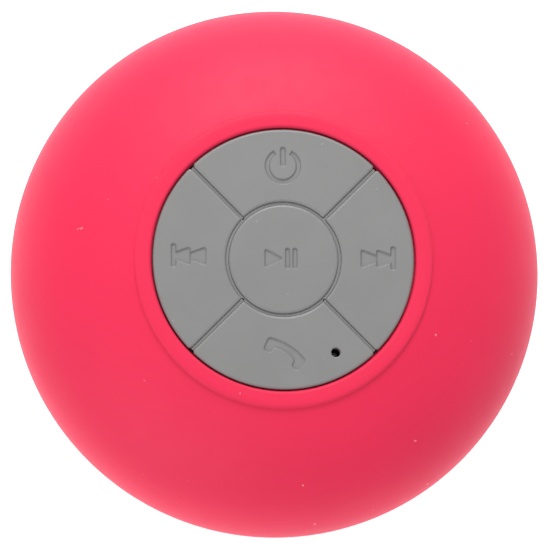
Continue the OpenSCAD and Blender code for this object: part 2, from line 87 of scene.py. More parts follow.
BODY_R = round(box_mm("upper_shell")[1].x, 1)
TOP_Z = round(box_mm("upper_shell")[1].z, 2)
FLOOR_Z = round(box_mm("lower_shell")[0].z, 2)
SEAM_Z = round(box_mm("upper_shell")[0].z - 0.1, 2)
PAD_R = round(box_mm("power_key")[1].y, 2)
CENTRE_R = round(box_mm("play_pause_key")[1].x, 2)
KEY_TOP = round(box_mm("power_key")[1].z, 2)
STEM_Z = round(box_mm("power_key")[0].z, 2)
KEY_BOTTOM = round(box_mm("power_key_web")[1].z, 2)
SHEET_TOP = round(box_mm("keypad_membrane")[1].z, 2)
DECK_TOP = round(box_mm("keypad_membrane")[0].z, 2)
CUP_R = round(-box_mm("suction_cup")[0].x, 1)
NECK_TOP = round(box_mm("suction_cup")[1].z, 2)

WALL = 2.0
SEAM_GAP = 0.2
EQUATOR_Z = 33.6
DOME_N, BOWL_N, BOWL_H = 2.4, 2.2, 26.0
COLLAR_R, COLLAR_STEP = 23.9, 0.7
WELL_R = PAD_R + 0.3
DECK_BOTTOM = DECK_TOP - 1.6
GROOVE = 0.5
SWITCH_OFFSET = 14.0
SCREW_RING_R, BOARD_BOSS_R = 24.5, 18.6
BOARD_TOP = DECK_BOTTOM - 4.6
MIC = Vector((8.36, -14.9))
MIC_R = 0.73
SYMBOL_DEPTH = 0.36
LIP_DEPTH = 1.2
STEM_R = 1.5
TUBE_R, TUBE_BORE_R, BOSS_R, BOSS_BORE_R = 3.0, 1.3, 2.2, 0.9

# The charging port, in its own frame: the cover's hinge, the cover and the anchor beside it
HINGE_X, HINGE_Z = 6.85, -0.5
COVER_W, COVER_H, COVER_INNER = 13.5, 7.0, -1.8
ANCHOR_X0, ANCHOR_X1, ANCHOR_H = 6.95, 11.05, 3.8

DOME_H = (TOP_Z - COLLAR_STEP - EQUATOR_Z) / (1 - (COLLAR_R / BODY_R) ** DOME_N) ** (1 / DOME_N)


# ---- Mesh building ----

def superellipse(r, h, n, start, end, steps):
    """Points of one quarter, from angle start to end in degrees."""
    angles = [math.radians(start + (end - start) * i / steps) for i in range(steps + 1)]
    return [(r * abs(math.cos(a)) ** (2 / n), h * abs(math.sin(a)) ** (2 / n)) for a in angles]


def angle_at_radius(r, n, x):
    return math.degrees(math.acos((x / r) ** (n / 2)))


def angle_at_height(h, n, z):
    return math.degrees(math.asin((z / h) ** (n / 2)))


def bowl_radius(z):
    return BODY_R * (1 - (abs(EQUATOR_Z - z) / BOWL_H) ** BOWL_N) ** (1 / BOWL_N)


def dome_height(r):
    return EQUATOR_Z + DOME_H * (1 - (r / BODY_R) ** DOME_N) ** (1 / DOME_N)


def rounded(corners, steps=5):
    """A closed outline through (x, y, radius) corners, each turned with its own radius."""
    out = []
    for i, (x, y, r) in enumerate(corners):
        p = Vector((x, y))
        if r <= 0:
            out.append((x, y))
            continue
        a = Vector(corners[i - 1][:2]) - p
        b = Vector(corners[(i + 1) % len(corners)][:2]) - p
        half = a.angle(b) / 2
        reach = min(r / math.tan(half), 0.49 * a.length, 0.49 * b.length)
        r = reach * math.tan(half)
        a.normalize()
        b.normalize()
        centre = p + (a + b).normalized() * (r / math.sin(half))
        first, last = p + a * reach - centre, p + b * reach - centre
        start = math.atan2(first.y, first.x)
        turn = (math.atan2(last.y, last.x) - start + math.pi) % TAU - math.pi
        for k in range(steps + 1):
            t = start + turn * k / steps
            out.append((centre.x + r * math.cos(t), centre.y + r * math.sin(t)))
    return out


def circle(r, segments, at=(0.0, 0.0)):
    return [(at[0] + r * math.cos(TAU * k / segments), at[1] + r * math.sin(TAU * k / segments))
            for k in range(segments)]


def rounded_rectangle(w, h, r, x=0.0, y=0.0, steps=5):
    return rounded([(x + w / 2, y - h / 2, r), (x + w / 2, y + h / 2, r),
                    (x - w / 2, y + h / 2, r), (x - w / 2, y - h / 2, r)], steps)


def turned(outline, degrees, x=0.0, y=0.0):
    c, s = math.cos(math.radians(degrees)), math.sin(math.radians(degrees))
    return [(x + c * u - s * v, y + s * u + c * v) for u, v in outline]


def moved_out(outline, d):
    """The outline moved outwards by d along its corners' normals. It runs anticlockwise."""
    out = []
    for i, p in enumerate(outline):
        p = Vector(p)
        a = (p - Vector(outline[i - 1])).normalized()
        b = (Vector(outline[(i + 1) % len(outline)]) - p).normalized()
        na, nb = Vector((a.y, -a.x)), Vector((b.y, -b.x))
        n = (na + nb).normalized()
        out.append(tuple(p + n * d / max(0.4, n.dot(na))))
    return out


def add_object(name, bm):
    """The finished mesh as an object in the scene, scaled to metres, normals outwards."""
    bmesh.ops.remove_doubles(bm, verts=bm.verts, dist=1e-5)
    bmesh.ops.recalc_face_normals(bm, faces=bm.faces)
    bmesh.ops.scale(bm, vec=(MM, MM, MM), verts=bm.verts)
    mesh = bpy.data.meshes.new(name)
    bm.to_mesh(mesh)
    bm.free()
    obj = bpy.data.objects.new(name, mesh)
    bpy.context.scene.collection.objects.link(obj)
    return obj


def bridge(bm, a, b):
    """Quads, or triangles at a pole, between two closed rings of vertices."""
    n = max(len(a), len(b))
    for k in range(n):
        near = [a[k % len(a)], a[(k + 1) % len(a)]]
        far = [b[(k + 1) % len(b)], b[k % len(b)]]
        corners = list(dict.fromkeys(near + far))
        if len(corners) > 2:
            bm.faces.new(corners)


def revolve(name, profile, segments=180, at=(0.0, 0.0)):
    """A closed (radius, height) profile turned about a vertical axis."""
    bm = bmesh.new()
    rings = []
    for r, z in profile:
        if r < 1e-6:
            rings.append([bm.verts.new((at[0], at[1], z))])
            continue
        rings.append([bm.verts.new((x, y, z)) for x, y in circle(r, segments, at)])
    for a, b in zip(rings, rings[1:] + rings[:1]):
        if len(a) > 1 or len(b) > 1:
            bridge(bm, a, b)
    return add_object(name, bm)


def loft(name, rings, closed=False, matrix=None):
    """Rings of 3D points joined in order, capped at both ends or closed on themselves."""
    bm = bmesh.new()
    made = [[bm.verts.new(p) for p in ring] for ring in rings]
    pairs = list(zip(made, made[1:]))
    if closed:
        pairs.append((made[-1], made[0]))
    else:
        bm.faces.new(made[0])
        bm.faces.new(made[-1])
    for a, b in pairs:
        bridge(bm, a, b)
    if matrix is not None:
        bmesh.ops.transform(bm, matrix=matrix, verts=bm.verts)
    return add_object(name, bm)


def prism(name, outline, levels, matrix=None):
    """An outline carried through (outset, height) levels."""
    rings = [[(x, y, z) for x, y in moved_out(outline, d)] for d, z in levels]
    return loft(name, rings, matrix=matrix)


def cylinder(name, r, z0, z1, at=(0.0, 0.0), segments=48):
    return revolve(name, [(0, z0), (r, z0), (r, z1), (0, z1)], segments, at)


def joined(name, objects):
    """Several separate closed meshes as one object."""
    bm = bmesh.new()
    for o in objects:
        bm.from_mesh(o.data)
        bpy.data.objects.remove(o)
    bmesh.ops.scale(bm, vec=(1 / MM,) * 3, verts=bm.verts)
    return add_object(name, bm)


def combine(obj, tool, operation):
    """Unites the tool with obj or cuts it away, and removes the tool."""
    modifier = obj.modifiers.new("combine", "BOOLEAN")
    modifier.operation, modifier.object, modifier.solver = operation, tool, "EXACT"
    bpy.context.view_layer.update()
    graph = bpy.context.evaluated_depsgraph_get()
    made = bpy.data.meshes.new_from_object(obj.evaluated_get(graph))
    obj.modifiers.clear()
    obj.data = made
    bpy.data.objects.remove(tool)
    return obj


def unite(obj, tool):
    return combine(obj, tool, "UNION")


def cut(obj, tool):
    return combine(obj, tool, "DIFFERENCE")


def soften(obj, degrees=32):
    """Smooth shading with true edges kept, and flats that stay flat."""
    bm = bmesh.new()
    bm.from_mesh(obj.data)
    for f in bm.faces:
        f.smooth = True
    for e in bm.edges:
        e.smooth = e.calc_face_angle(0.0) < math.radians(degrees)
    bm.to_mesh(obj.data)
    bm.free()
    weighted = obj.modifiers.new("flats", "WEIGHTED_NORMAL")
    weighted.keep_sharp = True
    return obj


def corners_at(radius):
    """The four places between the side keys."""
    return [(radius * math.cos(math.radians(a)), radius * math.sin(math.radians(a)))
            for a in DIVIDERS]


def stem_place(name):
    """Where a key's stem stands on its switch."""
    a = KEYS[name]
    if a is None:
        return (0.0, 0.0)
    return (SWITCH_OFFSET * math.cos(math.radians(a)), SWITCH_OFFSET * math.sin(math.radians(a)))


def switch_holes(r, z0, z1):
    return [cylinder("hole", r, z0, z1, stem_place(name)) for name in KEYS]


# ---- Materials ----

class Surface:
    """A Principled material whose detail comes from noise in the object's own space."""

    def __init__(self, name, colour, roughness, **fixed):
        self.material = bpy.data.materials.new(name)
        self.material.use_nodes = True
        self.tree = self.material.node_tree
        self.shader = self.tree.nodes["Principled BSDF"]
        self.colour = colour
        self.shader.inputs["Base Color"].default_value = (*colour, 1)
        self.shader.inputs["Roughness"].default_value = roughness
        for socket, value in fixed.items():
            label = socket.replace("_", " ").title().replace("Ior", "IOR")
            self.shader.inputs[label].default_value = value
        self.space = self.tree.nodes.new("ShaderNodeTexCoord").outputs["Object"]
        self.normal = None

    def link(self, a, b):
        self.tree.links.new(a, b)

    def noise(self, size_mm, detail=3.0, rough=0.55):
        node = self.tree.nodes.new("ShaderNodeTexNoise")
        node.inputs["Scale"].default_value = 1 / (size_mm * MM)
        node.inputs["Detail"].default_value = detail
        node.inputs["Roughness"].default_value = rough
        self.link(self.space, node.inputs["Vector"])
        return node.outputs["Fac"]

    def spread(self, value, low, high, out_low, out_high):
        node = self.tree.nodes.new("ShaderNodeMapRange")
        for socket, v in (("From Min", low), ("From Max", high),
                          ("To Min", out_low), ("To Max", out_high)):
            node.inputs[socket].default_value = v
        self.link(value, node.inputs["Value"])
        return node.outputs["Result"]

    def tint(self, value, other):
        """Colour runs from what it is now, at value 0, to other, at value 1."""
        node = self.tree.nodes.new("ShaderNodeMix")
        node.data_type = "RGBA"
        before, after = [s for s in node.inputs if s.type == "RGBA"]
        base = self.shader.inputs["Base Color"]
        if base.is_linked:
            self.link(base.links[0].from_socket, before)
        else:
            before.default_value = base.default_value
        after.default_value = (*other, 1)
        self.link(value, node.inputs["Factor"])
        self.link(next(s for s in node.outputs if s.type == "RGBA"), base)
        return self

    def mottled(self, size_mm, amount):
        """Slow, slight changes of colour, as moulded or painted parts have."""
        darker = [c * (1 - amount) for c in self.colour]
        return self.tint(self.spread(self.noise(size_mm), 0.35, 0.65, 0, 1), darker)

    def uneven(self, size_mm, low, high):
        self.link(self.spread(self.noise(size_mm, 4), 0.3, 0.7, low, high),
                  self.shader.inputs["Roughness"])
        return self

    def bumped(self, height, depth_mm, strength=1.0):
        node = self.tree.nodes.new("ShaderNodeBump")
        node.inputs["Distance"].default_value = depth_mm * MM
        node.inputs["Strength"].default_value = strength
        self.link(height, node.inputs["Height"])
        if self.normal is not None:
            self.link(self.normal, node.inputs["Normal"])
        self.normal = node.outputs["Normal"]
        self.link(self.normal, self.shader.inputs["Normal"])
        return self

    def grained(self, size_mm, depth_mm, strength=1.0):
        return self.bumped(self.noise(size_mm, 2), depth_mm, strength)

    def flecked(self, size_mm, colour, rarity):
        """Sparse small marks, such as dust and light scuffs."""
        spots = self.spread(self.noise(size_mm, 1), rarity, rarity + 0.04, 0, 0.5)
        return self.tint(spots, colour)

    def woven(self, pitch_mm, depth_mm):
        """Over-and-under threads along X and Y."""
        total = None
        for axis in ("X", "Y"):
            wave = self.tree.nodes.new("ShaderNodeTexWave")
            wave.bands_direction = axis
            wave.inputs["Scale"].default_value = WAVE_PERIOD / (pitch_mm * MM)
            wave.inputs["Distortion"].default_value = 0.0
            self.link(self.space, wave.inputs["Vector"])
            if total is None:
                total = wave.outputs["Fac"]
                continue
            add = self.tree.nodes.new("ShaderNodeMath")
            add.operation = "MULTIPLY"
            self.link(total, add.inputs[0])
            self.link(wave.outputs["Fac"], add.inputs[1])
            total = add.outputs[0]
        return self.bumped(total, depth_mm)

    def split_by(self, axis, other):
        """One colour where the coordinate is positive, another where it is negative."""
        parts = self.tree.nodes.new("ShaderNodeSeparateXYZ")
        self.link(self.space, parts.inputs[0])
        return self.tint(self.spread(parts.outputs[axis], -1e-5, 1e-5, 1, 0), other)


PINK = (0.80, 0.0185, 0.078)
PALE_PINK = (0.98, 0.42, 0.50)
GREY = (0.210, 0.210, 0.2085)


def side_by_side_leads(axis):
    """A red lead and a black lead, told apart by which side of the middle they are on."""
    return (Surface("leads_side_by_side_" + axis.lower(), (0.5, 0.02, 0.015), 0.45)
            .split_by(axis, (0.015, 0.015, 0.016)).uneven(0.3, 0.38, 0.55).grained(0.2, 0.01))


def make_surfaces():
    return {
        "paint": (Surface("soft_touch_pink", PINK, 0.55, specular_ior_level=0.32, sheen_weight=0.04,
                          sheen_roughness=0.5, sheen_tint=(1.0, 0.75, 0.8, 1.0))
                  .mottled(22, 0.03).uneven(3, 0.54, 0.6).grained(0.12, 0.003)
                  .flecked(1.1, PALE_PINK, 0.79)),
        "cover": (Surface("silicone_pink", (0.93, 0.025, 0.09), 0.6, specular_ior_level=0.32)
                  .mottled(6, 0.06).uneven(0.6, 0.52, 0.68).grained(0.1, 0.006)),
        "cup": (Surface("cup_silicone_pink", (0.93, 0.03, 0.1), 0.36, specular_ior_level=0.45,
                        subsurface_weight=0.15, subsurface_scale=0.002)
                .mottled(12, 0.07).uneven(2.5, 0.28, 0.44).grained(0.5, 0.008, 0.6)),
        "keys": (Surface("keypad_silicone_grey", GREY, 0.44, specular_ior_level=0.75,
                         sheen_weight=0.04, sheen_roughness=0.6)
                 .mottled(9, 0.05).uneven(0.8, 0.42, 0.5).grained(0.09, 0.005)
                 .flecked(0.9, (0.5, 0.5, 0.5), 0.80)),
        "steel": (Surface("zinc_plated_steel", (0.62, 0.62, 0.63), 0.3, metallic=1.0)
                  .mottled(1.5, 0.12).uneven(0.5, 0.2, 0.42).grained(0.15, 0.004)),
        "nickel": (Surface("stamped_nickel", (0.7, 0.69, 0.66), 0.25, metallic=1.0)
                   .mottled(2, 0.08).uneven(0.3, 0.18, 0.34)),
        "black": (Surface("moulded_black", (0.018, 0.018, 0.02), 0.45)
                  .mottled(4, 0.25).uneven(0.6, 0.38, 0.55).grained(0.14, 0.01)),
        "rubber": (Surface("black_rubber", (0.02, 0.02, 0.021), 0.7)
                   .mottled(3, 0.2).uneven(0.5, 0.62, 0.8).grained(0.1, 0.01)),
        "board": (Surface("solder_mask", (0.01, 0.12, 0.045), 0.3, coat_weight=0.5)
                  .mottled(3, 0.35).uneven(1.2, 0.24, 0.4).woven(0.5, 0.006)),
        "ferrite": (Surface("ferrite", (0.045, 0.045, 0.048), 0.65)
                    .mottled(1.2, 0.3).uneven(0.8, 0.5, 0.75).grained(0.2, 0.02)),
        "copper": (Surface("enamelled_copper", (0.62, 0.22, 0.09), 0.3, metallic=1.0)
                   .mottled(0.6, 0.2).uneven(0.3, 0.2, 0.4)),
        "cone": (Surface("black_pulp", (0.022, 0.021, 0.021), 0.85)
                 .mottled(0.9, 0.35).uneven(0.4, 0.75, 0.95).grained(0.25, 0.04)),
        "former": (Surface("varnished_paper", (0.42, 0.24, 0.09), 0.5)
                   .mottled(0.8, 0.2).uneven(0.4, 0.4, 0.6).grained(0.2, 0.01)),
        "spider": (Surface("resin_cloth", (0.5, 0.33, 0.1), 0.8)
                   .mottled(1.5, 0.2).uneven(0.4, 0.7, 0.9).woven(0.4, 0.05)),
        "mesh": (Surface("hydrophobic_mesh", (0.012, 0.012, 0.013), 0.75)
                 .mottled(2, 0.3).uneven(0.5, 0.65, 0.85).woven(0.35, 0.06)),
        "foil": (Surface("pouch_foil", (0.66, 0.67, 0.68), 0.28, metallic=1.0)
                 .mottled(4, 0.1).uneven(1.5, 0.2, 0.4).grained(1.6, 0.05, 0.6)),
        "tape": (Surface("adhesive_tape", (0.75, 0.58, 0.08), 0.5)
                 .mottled(2, 0.1).uneven(0.8, 0.4, 0.6).woven(0.5, 0.02)),
        "ivory": (Surface("nylon_ivory", (0.72, 0.69, 0.58), 0.5)
                  .mottled(1.2, 0.08).uneven(0.5, 0.42, 0.6).grained(0.12, 0.006)),
        "phenolic": (Surface("phenolic_brown", (0.3, 0.16, 0.05), 0.55)
                     .mottled(0.7, 0.2).uneven(0.4, 0.45, 0.65).woven(0.4, 0.01)),
        "sleeve": (Surface("capacitor_sleeve", (0.03, 0.03, 0.09), 0.3, coat_weight=0.3)
                   .mottled(1, 0.2).uneven(0.6, 0.24, 0.38)),
        "lens": (Surface("led_resin", (0.85, 0.86, 0.9), 0.12, transmission_weight=0.6)
                 .mottled(0.3, 0.05).uneven(0.3, 0.08, 0.18)),
        "red_black_x": side_by_side_leads("X"),
        "red_black_y": side_by_side_leads("Y"),
    }


SURFACES = make_surfaces()


def dress(obj, surface):
    obj.data.materials.clear()
    obj.data.materials.append(SURFACES[surface].material)
    return obj


# ---- Shells ----

def upper_shell():
    bottom = SEAM_Z + SEAM_GAP / 2
    seam = [(bowl_radius(bottom), bottom, 0.15), (bowl_radius(bottom + 0.9), bottom + 0.9, 0)]
    dome = [(r, EQUATOR_Z + z, 0) for r, z in superellipse(
        BODY_R, DOME_H, DOME_N, 0, angle_at_radius(BODY_R, DOME_N, COLLAR_R + 1.1), 48)]
    # the foot of the collar's step, its slightly sloping edge, its flat and the well's edge
    collar = [(COLLAR_R + 0.04, dome_height(COLLAR_R + 0.04), 0.14),
              (COLLAR_R - 0.1, TOP_Z - 0.06, 0.5),
              (COLLAR_R - 1.0, TOP_Z, 4.0),
              (WELL_R, TOP_Z, 0.5)]
    lip_r = PAD_R + 0.06
    lip = [(WELL_R, KEY_TOP - LIP_DEPTH, 0), (lip_r, KEY_TOP - LIP_DEPTH, 0)]
    inside = [(lip_r, DECK_TOP, 0), (0, DECK_TOP, 0), (0, DECK_BOTTOM, 0),
              (WELL_R + WALL, DECK_BOTTOM, 0.6)]
    inner_r, inner_h = BODY_R - WALL, DOME_H - WALL
    lining = [(r, EQUATOR_Z + z, 0) for r, z in superellipse(
        inner_r, inner_h, DOME_N, angle_at_radius(inner_r, DOME_N, WELL_R + WALL), 0, 24)]
    profile = rounded(seam + dome + collar + lip + inside + lining + [(inner_r, bottom, 0.15)])
    shell = revolve("upper_shell_skin", profile, 256)
    z0, z1 = 30.2, TOP_Z - 3.1
    tube = [(TUBE_BORE_R, z0), (TUBE_R, z0), (TUBE_R, z1), (TUBE_BORE_R, z1)]
    unite(shell, joined("screw_tubes", [revolve("tube", tube, 48, at)
                                        for at in corners_at(SCREW_RING_R)]))
    unite(shell, joined("board_bosses", [cylinder("boss", BOSS_R, BOARD_TOP, DECK_BOTTOM + 0.4, at)
                                         for at in corners_at(BOARD_BOSS_R)]))
    holes = switch_holes(2.2, DECK_BOTTOM - 1, DECK_TOP + 1)
    holes.append(cylinder("hole", 1.0, DECK_BOTTOM - 1, DECK_TOP + 1, MIC, 32))
    cut(shell, joined("deck_holes", holes))
    cut(shell, joined("boss_holes", [cylinder("hole", BOSS_BORE_R, BOARD_TOP - 1, BOARD_TOP + 4, at, 32)
                                     for at in corners_at(BOARD_BOSS_R)]))
    dress(soften(shell), "paint")
    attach(shell, "speaker_body")
    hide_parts("upper_shell")


def port_space():
    """The charging port's frame: X along the rim, Y along the cover's hinge, Z outwards."""
    hinge = joint("port_cover_hinge")
    y = Vector(hinge["axis"]).normalized()
    x = Vector((1, 0, 0))
    z = x.cross(y)
    at_edge = Vector(hinge["pos_m"]) / MM
    origin = at_edge - x * HINGE_X - z * HINGE_Z
    return Matrix.Translation(origin) @ Matrix((x, y, z)).transposed().to_4x4()


PORT = port_space()


def surface_height(x, y):
    """How far out the bowl's surface is, in the port's frame, above the point (x, y)."""
    low, high = -6.0, 2.0
    for _ in range(40):
        z = (low + high) / 2
        p = PORT @ Vector((x, y, z))
        if math.hypot(p.x, p.y) > bowl_radius(p.z):
            high = z
        else:
            low = z
    return low


def port_box(x0, x1, y0, y1, z0, z1, r=0.05):
    outline = rounded_rectangle(x1 - x0, y1 - y0, r, (x0 + x1) / 2, (y0 + y1) / 2)
    return prism("port_box", outline, [(0, z0), (0, z1)], PORT)


def lower_shell():
    top = SEAM_Z - SEAM_GAP / 2
    floor_top = FLOOR_Z + WALL
    stud_hole_r, stud_boss_r, stud_boss_top = 4.05, 7.0, 16.6
    inner_r, inner_h = BODY_R - WALL, BOWL_H - WALL
    tongue_in, tongue_out, tongue_top = 39.3, 40.8, SEAM_Z + 2.7
    boss = [(stud_hole_r, stud_boss_top, 0), (stud_hole_r, 14.7, 0), (5.5, 14.7, 0),
            (5.5, FLOOR_Z, 0.2)]
    floor_edge = BODY_R * (1 - ((EQUATOR_Z - FLOOR_Z) / BOWL_H) ** BOWL_N) ** (1 / BOWL_N)
    outside = [(r, EQUATOR_Z - z, 0) for r, z in superellipse(
        BODY_R, BOWL_H, BOWL_N, angle_at_height(BOWL_H, BOWL_N, EQUATOR_Z - FLOOR_Z - 1.0),
        angle_at_height(BOWL_H, BOWL_N, EQUATOR_Z - top + 0.9), 36)]
    rim = [(bowl_radius(top), top, 0.15), (tongue_out, top, 0)]
    groove_r, groove_z0, groove_z1 = 40.0, 32.3, 33.5
    groove = [(tongue_out, groove_z0, 0), (groove_r, groove_z0, 0),
              (groove_r, groove_z1, 0), (tongue_out, groove_z1, 0),
              (tongue_out, tongue_top, 0.2), (tongue_in, tongue_top, 0.2),
              (tongue_in, SEAM_Z - 2, 0.4)]
    lining = [(r, EQUATOR_Z - z, 0) for r, z in superellipse(
        inner_r, inner_h, BOWL_N, angle_at_height(inner_h, BOWL_N, EQUATOR_Z - SEAM_Z + 3),
        angle_at_height(inner_h, BOWL_N, EQUATOR_Z - floor_top), 20)]
    seat_in, seat_out, seat_top = 18.3, 20.3, 18.2
    seat = [(seat_out, floor_top, 0), (seat_out, seat_top, 0),
            (seat_in, seat_top, 0), (seat_in, floor_top, 0),
            (stud_boss_r, floor_top, 0), (stud_boss_r, stud_boss_top, 0)]
    profile = rounded(boss + [(floor_edge, FLOOR_Z, 0.9)] + outside + rim + groove
                      + lining + seat)
    shell = revolve("lower_shell_skin", profile, 256)

    unite(shell, joined("tubes", [cylinder("tube", 3.2, FLOOR_Z + 1, 30, at)
                                  for at in corners_at(SCREW_RING_R)]))
    unite(shell, conforming_plate("block", -9, 12.5, 11.2, 0.5, -4.4, 0.3, 1.0))
    for side in (-1, 1):
        x0, x1 = sorted((side * 6.4, side * 8.8))
        unite(shell, port_box(x0, x1, -3.7, -0.3, -13.4, -4.0))
    cut(shell, port_box(-7.5, 7.5, -2.4, -1.2, -14, -5.2))
    cut(shell, joined("screw_recesses", [cylinder("recess", 2.5, FLOOR_Z - 2, 20, at)
                                         for at in corners_at(SCREW_RING_R)]))
    cut(shell, joined("screw_holes", [cylinder("hole", 1.45, 19, 32, at, 32)
                                      for at in corners_at(SCREW_RING_R)]))
    count, width, length, ring_r = 18, 1.8, 5.0, 15.2
    slots = []
    for i in range(count):
        outline = turned(rounded_rectangle(length, width, width / 2 - 0.01, ring_r),
                         i * 360 / count)
        slots.append(prism("slot", outline, [(0.35, FLOOR_Z - 0.2), (0.22, FLOOR_Z + 0.02),
                                             (0, FLOOR_Z + 0.3), (0, floor_top + 1)]))
    cut(shell, joined("slots", slots))
    recess = rounded_rectangle(COVER_W + 0.4, COVER_H + 0.4, 2.4)
    cut(shell, prism("recess", recess, [(0, COVER_INNER - 0.1), (0, 4)], PORT))
    cut(shell, port_box(-4.3, 4.3, -1.75, 1.75, -6, 0, 0.5))
    cut(shell, port_box(COVER_W / 2, COVER_W / 2 + 4.5, -2.1, 2.1, -2.6, 3, 0.3))
    dress(soften(shell), "paint")
    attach(shell, "speaker_body")
    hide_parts("lower_shell")


# ---- Charging port cover ----

def conforming_plate(name, x0, x1, h, r, bottom, fillet, clearance=0.0):
    """A plate with round corners whose outer face follows the bowl's surface."""
    w, middle = x1 - x0, (x0 + x1) / 2
    rings = []

    def ring(inset, drop=None, z=None):
        outline = rounded_rectangle(w - 2 * inset, h - 2 * inset, max(r - inset, 0.06),
                                    middle, 0, 6)
        rings.append([(x, y, z if z is not None else surface_height(x, y) - clearance - drop)
                      for x, y in outline])

    ring(0.15, z=bottom)
    ring(0.0, z=bottom + 0.15)
    for k in range(6):
        a = math.radians(18 * k)
        ring(fillet * (1 - math.cos(a)), drop=fillet * (1 - math.sin(a)))
    steps = 6
    last = h / 2 - 0.15
    for k in range(1, steps + 1):
        ring(fillet + (last - fillet) * k / steps, drop=0.0)
    return loft(name, rings, matrix=PORT)


def port_cover():
    cover = conforming_plate("port_cover_skin", -COVER_W / 2, COVER_W / 2, COVER_H, 2.2,
                             COVER_INNER, 0.3)
    nose = rounded_rectangle(6.0, 1.2, 0.5)
    unite(cover, prism("nose", nose, [(-0.2, COVER_INNER - 1.9), (0, COVER_INNER - 1.7),
                                      (0, COVER_INNER + 0.2)], PORT))
    dress(soften(cover), "cover")
    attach(cover, "port_cover")
    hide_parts("port_cover")


def port_cover_anchor():
    anchor = conforming_plate("port_cover_anchor_skin", ANCHOR_X0, ANCHOR_X1, ANCHOR_H, 0.4,
                              -2.5, 0.2, 0.02)
    stem = circle(1.1, 24, (9.2, 0.0))
    unite(anchor, prism("stem", stem, [(0.45, -5.4), (0.5, -5.2), (0.5, -4.55), (0, -4.5),
                                       (0, -2.3)], PORT))
    dress(soften(anchor), "cover")
    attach(anchor, "speaker_body")
    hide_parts("port_cover_anchor")


def port_cover_strap():
    """The thin web that the cover swings on, made as one fixed piece between the two bodies."""
    x0, x1, half_w, t = 6.1, 7.7, 1.5, 0.45
    steps = 14
    rings = []
    for i in range(steps + 1):
        x = x0 + (x1 - x0) * i / steps
        outline = rounded_rectangle(2 * half_w, t, t / 2 - 0.02, 0, 0, 4)
        rings.append([(x, u, HINGE_Z - 0.15 - t / 2 + v) for u, v in outline])
    strap = dress(soften(loft("port_cover_strap", rings, matrix=PORT)), "cover")
    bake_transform(strap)


# ---- Keypad ----
# Symbols are drawn as they are at the bottom of the engraving. Their walls lean outwards.

def side_key_outline(inset):
    """A side key's outline, pointing along +X, that far in from its edge."""
    outer_turn, inner_turn = 0.55, 0.2
    inner_r = CENTRE_R + GROOVE

    def corner(radius, e):
        a = (GROOVE / 2 + e) * math.sqrt(2)
        x = (a + math.sqrt(2 * radius ** 2 - a ** 2)) / 2
        return Vector((x, x - a))

    def arc(centre, r, a0, a1, steps):
        return [(centre[0] + r * math.cos(a0 + (a1 - a0) * k / steps),
                 centre[1] + r * math.sin(a0 + (a1 - a0) * k / steps)) for k in range(steps + 1)]

    turn_o, turn_i = max(outer_turn - inset, 0.02), max(inner_turn - inset, 0.02)
    outer = corner(PAD_R - inset - turn_o, inset + turn_o)
    inner = corner(inner_r + inset + turn_i, inset + turn_i)
    phi_o, phi_i = math.atan2(outer.y, outer.x), math.atan2(inner.y, inner.x)
    side = math.radians(135)
    half = arc((0, 0), PAD_R - inset, 0, phi_o, 24)[:-1]
    half += arc(outer, turn_o, phi_o, side, 6)
    half += arc(inner, turn_i, side, phi_i + math.pi, 5)
    half += arc((0, 0), inner_r + inset, phi_i, 0, 14)[1:]
    lower = [(x, -y) for x, y in half[-2:0:-1]]
    return half + lower


def key_outline(name, inset):
    if KEYS[name] is None:
        return circle(CENTRE_R - inset, 128)
    return turned(side_key_outline(inset), KEYS[name])


def ring_arc(r, x, y, a0, a1, steps=40):
    return [(x + r * math.cos(math.radians(a0 + (a1 - a0) * k / steps)),
             y + r * math.sin(math.radians(a0 + (a1 - a0) * k / steps))) for k in range(steps + 1)]


def power_symbol():
    """A ring with a gap at the top, and a bar in the gap."""
    x, y, opening = -0.1, 14.97, 34
    arc = ring_arc(2.71, x, y, 90 + opening, 450 - opening)
    arc += ring_arc(2.28, x, y, 450 - opening, 90 + opening)
    return [arc, rounded_rectangle(0.5, 2.7, 0.15, x, y + 1.53)]


def skip_symbol(x, y, facing):
    """Two arrowheads that touch, and a bar."""
    outlines = [rounded([(u, -1.26, 0.12), (u + 2.3, -0.42, 0.1),
                         (u + 2.3, 0.42, 0.1), (u, 1.26, 0.12)], 3)
                for u in (-2.67, -0.15)]
    outlines.append(rounded_rectangle(0.46, 3.36, 0.12, 2.36, 0.1))
    outlines = [[(x + facing * u, y + v) for u, v in o] for o in outlines]
    return [o if facing > 0 else o[::-1] for o in outlines]


def play_pause_symbol():
    """A triangle and two bars."""
    triangle = rounded([(-2.85, -1.28, 0.1), (-0.33, 0, 0.08), (-2.85, 1.28, 0.1)])
    bars = [rounded_rectangle(0.4, 2.9, 0.1, x, 0) for x in (0.66, 1.84)]
    return [[(u, v + 0.15) for u, v in o] for o in [triangle] + bars]


def handset_symbol():
    """A telephone handset: a curved handle with an ear block at each end."""
    back_r, palm_r = 10.0, 4.8
    back = [(u, math.sqrt(back_r ** 2 - u ** 2) - back_r + 0.43)
            for u in (2.7 - 0.3 * k for k in range(19))]
    palm = [(u, math.sqrt(palm_r ** 2 - u ** 2) - palm_r - 0.48)
            for u in (-2.4 + 0.4 * k for k in range(13))]
    ear = rounded([(1.95, 0.0, 0.1), (2.15, -1.95, 0.4), (3.08, -2.08, 0.4), (3.32, -0.1, 0.4),
                   (2.6, 0.08, 0.1)])
    pieces = [back + palm, ear, [(-u, v) for u, v in ear[::-1]]]
    return [turned(o, -31.8, 0.63, -14.32) for o in pieces]


SYMBOLS = {"power": power_symbol(), "previous": skip_symbol(-15.2, 0.4, -1),
           "next": skip_symbol(15.2, 0.2, 1), "play_pause": play_pause_symbol(),
           "call": handset_symbol()}


